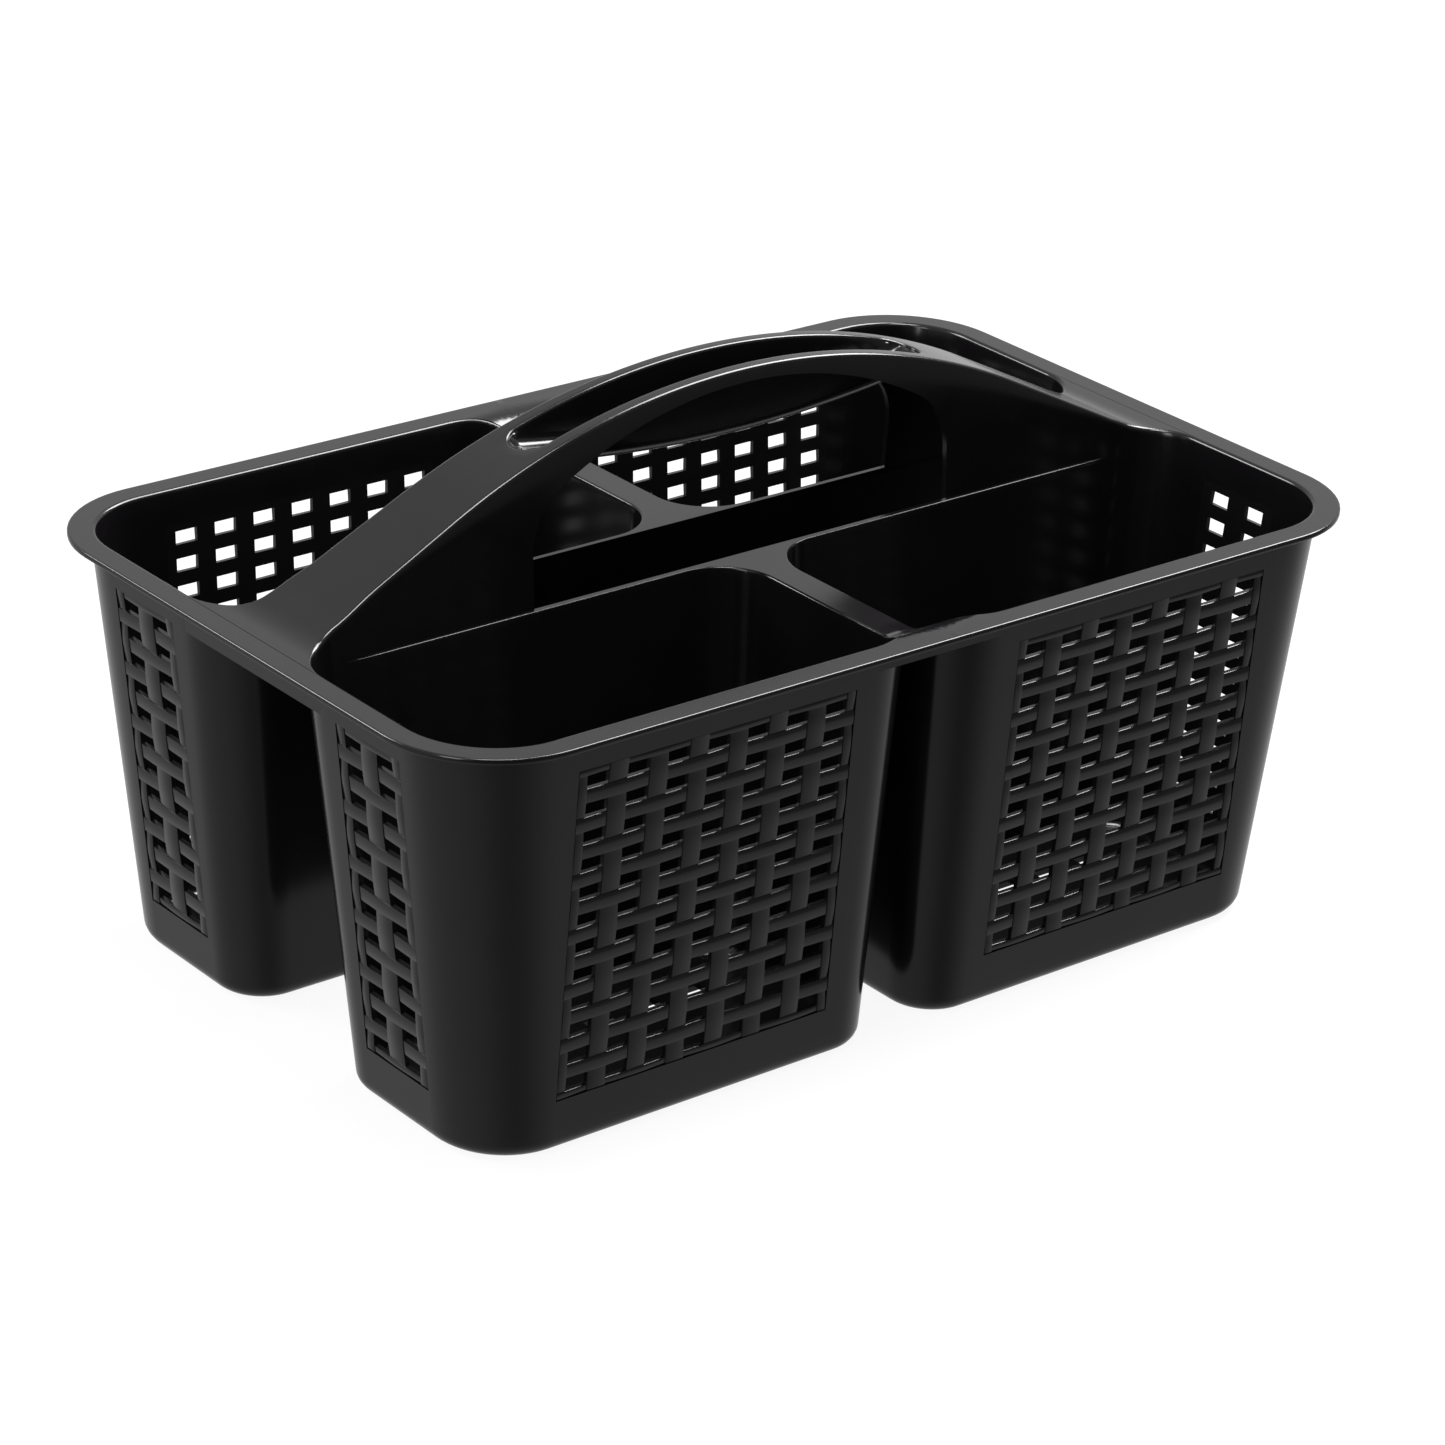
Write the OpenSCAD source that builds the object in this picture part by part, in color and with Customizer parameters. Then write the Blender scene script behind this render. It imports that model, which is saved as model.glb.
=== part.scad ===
// Carry caddy for the shower: four draining tubs under one rim, with a fixed
// carrying handle along the middle. One moulding, drawn as named regions that
// meet face to face. +Z is up, +X runs along the handle, and the origin is the
// middle of the rectangle that the caddy stands in.

/* [Overall] */
// Length of the rim, along the handle
rim_l = 380; // [340:5:440]
// Width of the rim, across the handle
rim_w = 246; // [220:2:300]
// Height of the rim's top face above the table
rim_h = 147; // [125:1:180]
// Height of the handle's rails above the rim
handle_rise = 54.5; // [48:0.5:66]

/* [Rim] */
// Radius of the rim's corners
rim_corner_r = 40; // [34:1:50]
// Thickness of the rim's flange
rim_t = 2; // [1.6:0.1:3]
// How far the flange stands out past the tubs
rim_overhang = 7.5; // [5:0.5:10]
// Drop from the rim to the lands between the tubs
deck_drop = 8.5; // [6:0.5:12]
// Depth of the apron under the flange, between a left tub and a right tub
apron_depth = 6.5; // [4:0.5:10]
// Depth of the apron at each end of the caddy, under the handle's foot
end_apron_depth = 11; // [6:0.5:14]
// Depth of a land's apron beside the spine, below the land's top face
spine_apron_depth = 20; // [8:1:30]

/* [Tubs] */
// Thickness of the moulded walls
wall = 2; // [1.6:0.1:2.6]
// Thickness of the tubs' floors
floor_t = 2.2; // [1.6:0.1:3]
// Gap between a left tub and a right tub, at the top
land_gap = 7.5; // [6:0.5:12]
// Gap between a front tub and a back tub, at the top
spine_gap = 32; // [28:1:38]
// Lean of a long outer wall, from top to bottom
long_lean = 9; // [5:0.5:12]
// Lean of an end wall, from top to bottom
end_lean = 15; // [8:0.5:18]
// Lean of the wall beside the land, from top to bottom
land_lean = 5; // [3:0.5:8]
// Lean of the wall beside the spine, from top to bottom
spine_lean = 9; // [5:0.5:12]
// Radius of a tub's three inner corners, at the top
inner_corner_r = 22; // [16:1:26]
// Radius of the same corners at the bottom
inner_foot_r = 18; // [12:1:22]
// Radius of a tub's outermost corner at the bottom
outer_foot_r = 27; // [20:1:32]
// Radius where the walls turn into the floor
floor_edge_r = 6; // [4:0.5:8]

/* [Weave panels] */
// Spacing of the hole columns in a long wall
col_pitch = 15.4; // [12:0.1:18]
// Spacing of the hole columns in an end wall
end_pitch = 16.8; // [12:0.1:18]
// Spacing of the hole rows
row_pitch = 9.6; // [8:0.1:12]
// Width of a hole
hole_w = 8.3; // [5:0.1:9]
// Height of a hole
hole_h = 4.7; // [3:0.1:6]
// Distance from the rim's top face down to a panel
panel_drop = 12.5; // [11:0.5:18]
// Least height of a panel above the tubs' rounded bottom edge
panel_rise = 12; // [8:0.5:20]
// Depth of the panel's face below the wall's face
panel_recess = 0.3; // [0.1:0.1:0.6]

/* [Drain holes] */
// Least width of plain floor around the drain holes
drain_margin = 20; // [16:1:26]
// Size of a drain hole along the caddy
drain_w = 10; // [6:1:12]
// Size of a drain hole across the caddy
drain_d = 5; // [3:1:8]
// Spacing of the drain holes along the caddy
drain_pitch_x = 19; // [14:1:20]
// Spacing of the drain holes across the caddy
drain_pitch_y = 18; // [12:1:20]

/* [Handle] */
// Ledge of the spine's wall outside the handle's web
web_ledge = 0.8; // [0.4:0.1:1.2]
// Lean of the webs towards each other
web_lean = 3.5; // [1:0.5:5]
// Distance from the rim's end to the handle's toe
toe_inset = 19.7; // [18.5:0.1:24]
// Run of a leg's slope, from the toe to the handle's full height
leg_run = 108.8; // [100:0.2:120]
// Thickness of the handle's top
top_t = 2.4; // [2:0.1:3]
// Distance from the handle's toe to the hand opening, at the deck
opening_inset = 84.3; // [78:0.1:100]
// Height of the hand opening's straight sides above the rim
opening_side = 9.6; // [4:0.1:14]
// Radius of the hand opening's shoulders
opening_shoulder_r = 24; // [16:1:30]
// Height of the web left over the hand opening
web_crown = 4.6; // [3.5:0.1:7]

/* [Grip] */
// Distance from the handle's toe to the grip's trough
trough_inset = 86.3; // [80:0.1:100]
// Clearance between the trough's walls and the webs, under the rails
rail_gap = 0.35; // [0.2:0.05:1]
// Depth of the trough's keel below the rails
trough_depth = 25; // [20:0.5:28]
// Length of the ramp at each end of the trough
ramp_len = 8; // [6:0.1:20]
// Rise of each end ramp
ramp_rise = 5; // [2:0.1:6]

/* [Hidden] */

eps = 0.01;          // thickness of a slice in a hull
over = 1;            // how far a cut runs past what it cuts
arc_fn = 96;         // sides of a round corner in plan
hull_fn = 32;        // sides of a round corner inside a hull
edge_steps = 3;      // slices that round a tub's bottom edge
curve_steps = 24;    // straight pieces in each arc of the handle
reach = 60;          // length of the shapes that trim the handle

rim_under = rim_h - rim_t;
deck_z = rim_h - deck_drop;

// A tub in the quadrant of +x and +y: its outside at the top and at the bottom
tub_top = [land_gap / 2, rim_l / 2 - rim_overhang, spine_gap / 2, rim_w / 2 - rim_overhang];
tub_foot = [tub_top[0] + land_lean, tub_top[1] - end_lean,
            tub_top[2] + spine_lean, tub_top[3] - long_lean];
outer_corner_r = rim_corner_r - rim_overhang;
wall_rise = rim_under - floor_edge_r;
long_angle = atan(long_lean / wall_rise);
end_angle = atan(end_lean / wall_rise);

// The edges of the flat deck beside a tub, where the walls turn into the corner
land_half = tub_top[0] + inner_corner_r;
spine_half = tub_top[2] + inner_corner_r;
ramp_y0 = tub_top[3] - inner_corner_r;
ramp_y1 = tub_top[3] - wall;
step_x = tub_top[1] - inner_corner_r;

// Weave panels: as many columns and rows as the flat of each wall takes
long_cols = floor((tub_foot[1] - tub_foot[0] - inner_foot_r - outer_foot_r) / col_pitch);
end_cols = max(1, floor((tub_foot[3] - tub_foot[2] - inner_foot_r - outer_foot_r) / end_pitch));
panel_top = rim_h - panel_drop;
weave_rows = floor((panel_top - floor_edge_r - panel_rise) / row_pitch);
long_panel_w = long_cols * col_pitch;
end_panel_w = end_cols * end_pitch;
panel_h = weave_rows * row_pitch;
panel_t = wall - panel_recess;
panel_base = (panel_top - floor_edge_r) / cos(long_angle) - panel_h;

// The panels' places: on the middle of the wall, moved in from its wider corner
panel_shift = (outer_corner_r - inner_corner_r) / 4;
long_panel_x = (tub_top[0] + tub_top[1] + tub_foot[0] + tub_foot[1]) / 4
             - panel_shift - long_panel_w / 2;
end_panel_y = (tub_top[2] + tub_top[3] + tub_foot[2] + tub_foot[3]) / 4
            - panel_shift - end_panel_w / 2;

// Drain holes: as many as the flat of the floor takes
drain_cols = 1 + floor((tub_foot[1] - tub_foot[0] - 2 * drain_margin - drain_w) / drain_pitch_x);
drain_rows = 1 + floor((tub_foot[3] - tub_foot[2] - 2 * drain_margin - drain_d) / drain_pitch_y);

// Handle: the toe and slope of its legs, its crown, the hand opening, the trough
web_outer = spine_gap / 2 + wall - web_ledge;
crown_top = rim_h + handle_rise;
toe_x = rim_l / 2 - toe_inset;
leg_slope = atan(handle_rise / leg_run);
crown_r = (toe_x - leg_run) / tan(leg_slope / 2);
crown_c = crown_top - crown_r;
opening_half = toe_x - opening_inset;
trough_half = toe_x - trough_inset;
trough_w = 2 * (web_outer - (crown_top - deck_z) * tan(web_lean) - 2 * wall - rail_gap);
keel_z = crown_top - trough_depth;
trough_end_z = crown_c + crown_r * cos(asin(trough_half / crown_r));
keel_rise = trough_end_z - ramp_rise - keel_z;

// ---- plan outlines -------------------------------------------------------

module spandrel(r) {
  difference() {
    translate([-over, -over]) square(r + over);
    translate([r, r]) circle(r, $fn = arc_fn);
  }
}

// Rectangle [x0, x1, y0, y1] with one radius at its far corner and one elsewhere
module round_plan(box, far_r, near_r) {
  difference() {
    translate([box[0], box[2]]) square([box[1] - box[0], box[3] - box[2]]);
    translate([box[0], box[2]]) spandrel(near_r);
    translate([box[1], box[2]]) rotate(90) spandrel(near_r);
    translate([box[1], box[3]]) rotate(180) spandrel(far_r);
    translate([box[0], box[3]]) rotate(270) spandrel(near_r);
  }
}

module rim_plan(inset) {
  hx = rim_l / 2 - inset;
  hy = rim_w / 2 - inset;
  r = rim_corner_r - inset;
  round_plan([-hx, hx, -hy, hy], r, r);
}

// ---- one tub -------------------------------------------------------------

// Thin slice of a tub's plan, for a hull: the box, shrunk by inset, with corners
module slice(z, box, far_r, near_r, inset) {
  for (i = [0, 1], j = [2, 3]) {
    r = (i == 1 && j == 3 ? far_r : near_r);
    cx = box[i] + (i == 0 ? r : -r);
    cy = box[j] + (j == 2 ? r : -r);
    translate([cx, cy, z]) cylinder(r = r - inset, h = eps, $fn = hull_fn);
  }
}

// Solid body of a tub: skin 0 is its outside, and skin = wall is its inside
module tub_body(skin, floor_z, top_z) {
  edge_r = floor_edge_r - floor_z;
  hull() {
    slice(top_z, tub_top, outer_corner_r, inner_corner_r, skin);
    for (k = [0:edge_steps]) {
      a = 90 * k / edge_steps;
      slice(floor_z + edge_r * (1 - cos(a)), tub_foot, outer_foot_r, inner_foot_r,
            skin + edge_r * (1 - sin(a)));
    }
  }
}

// Frames on the outside of a tub's walls: X along the wall, Y up it, Z outwards
module on_long_wall() {
  translate([0, tub_foot[3], floor_edge_r])
    rotate([-long_angle, 0, 0]) rotate([90, 0, 180]) children();
}

module on_end_wall() {
  translate([tub_foot[1], 0, floor_edge_r])
    rotate([0, end_angle, 0]) rotate([90, 0, 90]) children();
}

// Where the walls beside the land and the spine stop at the deck
module deck_cut() {
  translate([-over, 0, 0]) rotate([90, 0, 90])
    linear_extrude(land_half + over)
      polygon([[-over, deck_z], [ramp_y0, deck_z], [ramp_y1, rim_h],
               [ramp_y1, rim_h + over], [-over, rim_h + over]]);
  translate([-over, -over, deck_z]) cube([step_x + over, spine_half + over, deck_drop + over]);
}

module drain_holes() {
  x_mid = (tub_foot[0] + tub_foot[1]) / 2;
  y_mid = (tub_foot[2] + tub_foot[3]) / 2;
  for (i = [0:drain_cols - 1], j = [0:drain_rows - 1])
    translate([x_mid + (i - (drain_cols - 1) / 2) * drain_pitch_x - drain_w / 2,
               y_mid + (j - (drain_rows - 1) / 2) * drain_pitch_y - drain_d / 2, -over])
      cube([drain_w, drain_d, floor_t + 2 * over]);
}

module tub() {
  color("#2e2d2f") difference() {
    tub_body(0, 0, rim_under - eps);
    tub_body(wall, floor_t, rim_under);
    deck_cut();
    drain_holes();
    on_long_wall() translate([-long_panel_x - long_panel_w, panel_base, -wall - over])
      cube([long_panel_w, panel_h, wall + 2 * over]);
    on_end_wall() translate([end_panel_y, panel_base, -wall - over])
      cube([end_panel_w, panel_h, wall + 2 * over]);
  }
}

// ---- weave panels --------------------------------------------------------

module weave_plate(w, cols) {
  pitch = w / cols;
  linear_extrude(panel_t) difference() {
    square([w, panel_h]);
    for (i = [0:cols - 1], j = [0:weave_rows - 1])
      translate([(i + 0.5) * pitch - hole_w / 2, (j + 0.5) * row_pitch - hole_h / 2])
        square([hole_w, hole_h]);
  }
}

module long_weave() {
  color("#3a393b") on_long_wall()
    translate([-long_panel_x - long_panel_w, panel_base, -wall])
      weave_plate(long_panel_w, long_cols);
}

module end_weave() {
  color("#3a393b") on_end_wall()
    translate([end_panel_y, panel_base, -wall]) weave_plate(end_panel_w, end_cols);
}

// ---- rim, feet, lands and aprons -----------------------------------------

module rim_flange() {
  color("#454446") translate([0, 0, rim_under]) linear_extrude(rim_t) difference() {
    rim_plan(0);
    rim_plan(rim_overhang + wall);
  }
}

// Flat foot of the handle's right leg, between the openings of two tubs
module foot() {
  opening = [tub_top[0] + wall, tub_top[1] - wall, tub_top[2] + wall, tub_top[3] - wall];
  near_r = inner_corner_r - wall;
  far_r = outer_corner_r - wall;
  color("#454446") translate([0, 0, rim_under]) linear_extrude(rim_t) difference() {
    translate([step_x, -spine_half]) square([opening[1] - step_x, 2 * spine_half]);
    round_plan(opening, far_r, near_r);
    mirror([0, 1]) round_plan(opening, far_r, near_r);
  }
}

// Land between the two back tubs: flat at the deck, with a ramp up to the rim
module land() {
  y0 = spine_gap / 2;
  color("#3f3e40") difference() {
    translate([-land_half, 0, 0]) rotate([90, 0, 90]) linear_extrude(2 * land_half)
      polygon([[y0, deck_z - spine_apron_depth], [y0 + wall, deck_z - spine_apron_depth],
               [y0 + wall, deck_z - wall], [ramp_y0 + wall / 2, deck_z - wall],
               [ramp_y1, rim_under - wall / 2], [ramp_y1, rim_h], [ramp_y0, deck_z],
               [y0, deck_z]]);
    tub_body(0, 0, rim_under + rim_t);
    mirror([1, 0, 0]) tub_body(0, 0, rim_under + rim_t);
  }
}

// Apron along one outer face, between the corners of two neighbouring tubs
module apron(face, half_len, depth) {
  color("#454446") difference() {
    translate([-half_len, face - wall, rim_under - depth])
      cube([2 * half_len, wall, depth]);
    for (side = [0, 1]) mirror([side, 0, 0]) children();
  }
}

module long_apron() {
  apron(tub_top[3], land_half, apron_depth) tub_body(0, 0, rim_under + rim_t);
}

module end_apron() {
  rotate(-90) apron(tub_top[1], spine_half, end_apron_depth)
    rotate(90) mirror([0, 1, 0]) tub_body(0, 0, rim_under + rim_t);
}

// ---- handle --------------------------------------------------------------

// Points [x, z] along the handle's top line, lowered by drop, from a0 to a1
function crown_line(drop, a0, a1) =
  [for (k = [0:curve_steps])
    let (a = a0 + (a1 - a0) * k / curve_steps)
      [(crown_r - drop) * sin(a), crown_c + (crown_r - drop) * cos(a)]];

// Distance from the middle where a leg's line, lowered by drop, is at height z
function leg_x(z, drop) = toe_x - (z - rim_h + drop / cos(leg_slope)) / tan(leg_slope);

// The hand opening: straight sides, rounded shoulders, and a crown tangent to both
shoulder_x = opening_half - opening_shoulder_r;
shoulder_z = rim_h + opening_side;
crown_span = handle_rise - web_crown - opening_side;
opening_crown_r = (pow(shoulder_x, 2) + pow(crown_span, 2) - pow(opening_shoulder_r, 2))
                / (2 * (crown_span - opening_shoulder_r));
opening_c = crown_top - web_crown - opening_crown_r;
shoulder_a = asin(shoulder_x / (opening_crown_r - opening_shoulder_r));

function shoulder(side) =
  [for (k = [0:curve_steps])
    let (a = side > 0 ? shoulder_a + (90 - shoulder_a) * k / curve_steps
                      : 90 - (90 - shoulder_a) * k / curve_steps)
      [side * (shoulder_x + opening_shoulder_r * sin(a)),
       shoulder_z + opening_shoulder_r * cos(a)]];

function opening_crown() =
  [for (k = [1:curve_steps - 1])
    let (a = shoulder_a * (2 * k / curve_steps - 1))
      [opening_crown_r * sin(a), opening_c + opening_crown_r * cos(a)]];

// Solid between the two leaning outer faces of the handle
module leaning_block(inset) {
  h = crown_top + over - deck_z;
  base = web_outer - inset;
  tip = base - h * tan(web_lean);
  translate([-rim_l / 2, 0, 0]) rotate([90, 0, 90]) linear_extrude(rim_l)
    polygon([[-base, deck_z], [base, deck_z], [tip, deck_z + h], [-tip, deck_z + h]]);
}

module across(points) {
  translate([0, reach / 2, 0]) rotate([90, 0, 0]) linear_extrude(reach) polygon(points);
}

module web() {
  skirt_x = leg_x(rim_h, top_t);
  outline = concat([[-step_x, deck_z], [-step_x, rim_h], [-skirt_x, rim_h]],
                   crown_line(top_t, -leg_slope, leg_slope),
                   [[skirt_x, rim_h], [step_x, rim_h], [step_x, deck_z]]);
  opening = concat([[-opening_half, deck_z - over]], shoulder(-1), opening_crown(),
                   shoulder(1), [[opening_half, deck_z - over]]);
  color("#343335") difference() {
    intersection() {
      across(outline);
      leaning_block(0);
      translate([-rim_l / 2, 0, 0]) cube([rim_l, reach, crown_top + over]);
    }
    leaning_block(wall);
    across(opening);
  }
}

// Right leg: the handle's top from the trough's end down to the rim
module leg() {
  a0 = asin(trough_half / crown_r);
  a1 = asin(trough_half / (crown_r - top_t));
  color("#3c3b3d") intersection() {
    across(concat(crown_line(0, a0, leg_slope), [[toe_x, rim_h], [leg_x(rim_h, top_t), rim_h]],
                  crown_line(top_t, leg_slope, a1)));
    leaning_block(0);
  }
}

// Cavity of the trough, or its outside with skin = 0
module trough_body(skin) {
  r = trough_w / 2 + wall - skin;
  end_x = trough_half - skin;
  top_z = crown_top + over;
  keel = [for (k = [-curve_steps:curve_steps])
    let (share = k / curve_steps)
      [(trough_half - ramp_len) * share, keel_z + keel_rise * share * share + skin]];
  intersection() {
    across(concat([[-end_x, top_z], [-end_x, trough_end_z]], keel,
                  [[end_x, trough_end_z], [end_x, top_z]]));
    linear_extrude(top_z) union() {
      translate([r - end_x, -r]) square([2 * (end_x - r), 2 * r]);
      for (side = [-1, 1]) translate([side * (end_x - r), 0]) circle(r, $fn = arc_fn);
    }
  }
}

module crown_band(drop0, drop1, half) {
  a0 = asin(half / (crown_r - drop0));
  a1 = asin(half / (crown_r - drop1));
  across(concat(crown_line(drop0, -a0, a0), crown_line(drop1, a1, -a1)));
}

module grip_rails() {
  color("#3c3b3d") difference() {
    intersection() {
      crown_band(0, top_t, trough_half);
      leaning_block(0);
    }
    trough_body(wall);
  }
}

module grip_trough() {
  color("#343335") intersection() {
    difference() {
      trough_body(0);
      trough_body(wall);
    }
    across(concat(crown_line(top_t, -leg_slope, leg_slope), [[toe_x, 0], [-toe_x, 0]]));
  }
}

// ---- the caddy -----------------------------------------------------------

module to_front() { mirror([0, 1, 0]) children(); }
module to_left() { mirror([1, 0, 0]) children(); }

rim_flange();
to_left() foot();  // left_foot
foot();  // right_foot
to_front() land();  // front_land
land();  // back_land
to_front() long_apron();  // front_apron
long_apron();  // back_apron
to_left() end_apron();  // left_apron
end_apron();  // right_apron
to_front() to_left() tub();  // front_left_tub
to_front() tub();  // front_right_tub
to_left() tub();  // back_left_tub
tub();  // back_right_tub
to_front() to_left() long_weave();  // front_left_weave
to_front() long_weave();  // front_right_weave
to_left() long_weave();  // back_left_weave
long_weave();  // back_right_weave
to_front() to_left() end_weave();  // front_left_end_weave
to_front() end_weave();  // front_right_end_weave
to_left() end_weave();  // back_left_end_weave
end_weave();  // back_right_end_weave
to_front() web();  // front_web
web();  // back_web
to_left() leg();  // left_leg
leg();  // right_leg
grip_rails();
grip_trough();
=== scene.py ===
# %% [markdown]
# # A carry caddy for the shower
#
# The real caddy is one injection moulding of black polypropylene: four deep tubs hang from one
# rim, low lands separate them, and a fixed arched handle stands along the middle. The mould's
# maker draws it as one skin about 2 mm thick that runs over every edge in a small radius, so the
# skin is modelled here in the same way. Grids are laid over each part of it, and a Solidify
# modifier then gives them the moulding's wall.

# %% Load the frame
import math

import bpy
from mathutils import Matrix, Vector


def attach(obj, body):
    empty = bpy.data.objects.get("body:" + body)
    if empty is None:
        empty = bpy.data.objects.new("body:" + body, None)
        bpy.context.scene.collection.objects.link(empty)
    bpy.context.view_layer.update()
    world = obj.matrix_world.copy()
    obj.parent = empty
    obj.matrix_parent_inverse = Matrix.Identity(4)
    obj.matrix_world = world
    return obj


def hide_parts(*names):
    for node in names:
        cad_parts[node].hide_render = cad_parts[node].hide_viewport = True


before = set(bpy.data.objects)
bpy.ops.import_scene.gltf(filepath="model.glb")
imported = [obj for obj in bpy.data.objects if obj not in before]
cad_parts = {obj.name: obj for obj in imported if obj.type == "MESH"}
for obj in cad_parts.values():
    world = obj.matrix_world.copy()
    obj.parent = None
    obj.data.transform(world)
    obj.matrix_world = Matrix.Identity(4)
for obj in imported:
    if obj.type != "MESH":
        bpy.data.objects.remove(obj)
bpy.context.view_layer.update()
MM = 0.001                          # the sizes are written in mm, Blender's unit is the metre
print("frame loaded:", len(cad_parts), "nodes")

# %% [markdown]
# The sizes below are millimetres. They are those of the CAD model: x runs along the handle, y
# across it and z up, and the caddy stands on z = 0. Only a quarter is drawn, the one where x and y
# are positive, because the other three are its mirror images.

# %% Sizes of the moulding
HALF_L, HALF_W = 190.0, 123.0       # the rim's half length and half width
RIM_TOP, RIM_UNDER = 147.0, 145.0   # heights of the flange's two faces
DECK = 138.5                        # height of the lands between the tubs
WALL = 2.0
RIM_CORNER = 40.0
FOOT_Z = 6.0                        # height where the walls turn into the floor
FLOOR_TOP = 2.2
FLOOR_ROUND = 3.8                   # inside radius between walls and floor
LEAN_RISE = RIM_UNDER - FOOT_Z      # height over which the walls lean

# Inside of the tub at the rim and at the foot: x0, x1, y0, y1, outermost radius, other radii
PLAN_TOP = (5.75, 180.5, 18.0, 113.5, 30.5, 20.0)
PLAN_FOOT = (10.75, 165.5, 27.0, 104.5, 25.0, 16.0)

# Edge radii: rim, lands, ledge beside the handle
EDGE_RIM, EDGE_LAND, EDGE_LEDGE = 1.2, 0.8, 0.4

# Windows that the woven panels fill
PANEL_TOP, PANEL_FOOT = 134.5, 19.3
LONG_PANEL = (33.6, 140.9)
END_PANEL = (45.6, 79.2)
FLAT_MARGIN = 0.3                   # least flat wall between a panel and a corner
TOUCH = 0.01                        # points this close to a plane count as lying in it


def plan_at(z):
    """The tub's inside at height z: its box and its two corner radii."""
    t = (RIM_UNDER - z) / LEAN_RISE
    return [a + (b - a) * t for a, b in zip(PLAN_TOP, PLAN_FOOT)]


# %% [markdown]
# A tub's outline is walked once round: long wall, outermost corner, end wall, the corner at the
# handle's foot, the wall beside the handle, and so on back to the start. Each stop on this walk
# becomes one column of the grid, so straight walls and round corners flow into each other.

# %% The walk round a tub
LONG, FAR, END, FOOT, SPINE, INNER, LAND, FLARE = range(8)
CORNER_STOPS = 14                   # columns round each of a tub's three smaller corners


def stops(kind, count, part=0):
    """Stops evenly spread over one part of a stretch, as (kind, part, share of the way)."""
    return [(kind, part, k / count) for k in range(count)]


WALK = (stops(LONG, 2, 0) + stops(LONG, 8, 1) + stops(LONG, 2, 2) + stops(FAR, 16)
        + stops(END, 2, 0) + stops(END, 3, 1) + stops(END, 2, 2) + [(END, 2, 1.0)]
        + stops(FOOT, CORNER_STOPS) + stops(SPINE, 16) + stops(INNER, CORNER_STOPS)
        + stops(LAND, 8) + stops(FLARE, CORNER_STOPS))
CORNERS = {FAR: 90, FOOT: 0, INNER: -90, FLARE: 180}    # the angle at which each corner starts


def between(a, b, t):
    return a + (b - a) * t


def on_outline(stop, z):
    """x and y of a stop on the tub's inside at height z, then the way out of the tub there."""
    kind, part, t = stop
    x0, x1, y0, y1, far_r, near_r = plan_at(z)
    if kind == LONG:
        marks = (x0 + near_r, LONG_PANEL[0], min(LONG_PANEL[1], x1 - far_r - FLAT_MARGIN),
                 x1 - far_r)
        return between(marks[part], marks[part + 1], t), y1, 0, 1
    if kind == END:
        marks = (y1 - far_r, min(END_PANEL[1], y1 - far_r - FLAT_MARGIN), END_PANEL[0],
                 y0 + near_r)
        return x1, between(marks[part], marks[part + 1], t), 1, 0
    if kind == SPINE:
        return between(x1 - near_r, x0 + near_r, t), y0, 0, -1
    if kind == LAND:
        return x0, between(y0 + near_r, y1 - near_r, t), -1, 0
    r = far_r if kind == FAR else near_r
    cx = x0 + near_r if kind in (INNER, FLARE) else x1 - r
    cy = y0 + near_r if kind in (FOOT, INNER) else y1 - r
    a = math.radians(CORNERS[kind] - 90 * t)
    return cx + r * math.cos(a), cy + r * math.sin(a), math.cos(a), math.sin(a)


def smooth(t):
    """Runs from 0 to 1 with a level start and end."""
    t = min(1.0, max(0.0, t))
    return t * t * (3 - 2 * t)


RAMP = (93.5, 113.5)                # y where the land starts to rise to the rim, and where it ends


def deck_height(y):
    """Height of the land, which rises to the rim near the caddy's long sides."""
    return between(DECK, RIM_TOP, smooth((y - RAMP[0]) / (RAMP[1] - RAMP[0])))


def edge_of(stop):
    """Height and radius of the moulding's edge at a stop of the walk."""
    kind, _, t = stop
    if kind in (LONG, FAR, END):
        return RIM_TOP, EDGE_RIM
    if kind == FOOT:
        return DECK, 0.0
    if kind == SPINE:
        return DECK, EDGE_LEDGE * smooth(t * 6)
    if kind == INNER:
        return DECK, between(EDGE_LEDGE, EDGE_LAND, t)
    if kind == LAND:
        return DECK, EDGE_LAND
    y = on_outline(stop, RIM_UNDER)[1]
    return deck_height(y), between(EDGE_LAND, EDGE_RIM, t)


print("stops round a tub:", len(WALK))

# %% [markdown]
# In Blender a grid is the easiest skin to lay over such a shape: it starts flat, and each of its
# points is moved to the place that its column and row call for. Quads that follow the walls keep
# the reflections in the glossy plastic clean, which a Boolean or a remesh would not.

# %% Helpers for laying grids
def only(piece):
    """Makes piece the one selected and active object."""
    bpy.ops.object.select_all(action="DESELECT")
    piece.select_set(True)
    bpy.context.view_layer.objects.active = piece


def select_none(piece, kind):
    """Clears the selection, and makes kind (FACE or EDGE) what the mesh tools select by."""
    only(piece)
    bpy.ops.object.mode_set(mode="EDIT")
    bpy.ops.mesh.select_mode(type=kind)
    bpy.ops.mesh.select_all(action="DESELECT")
    bpy.ops.object.mode_set(mode="OBJECT")


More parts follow.
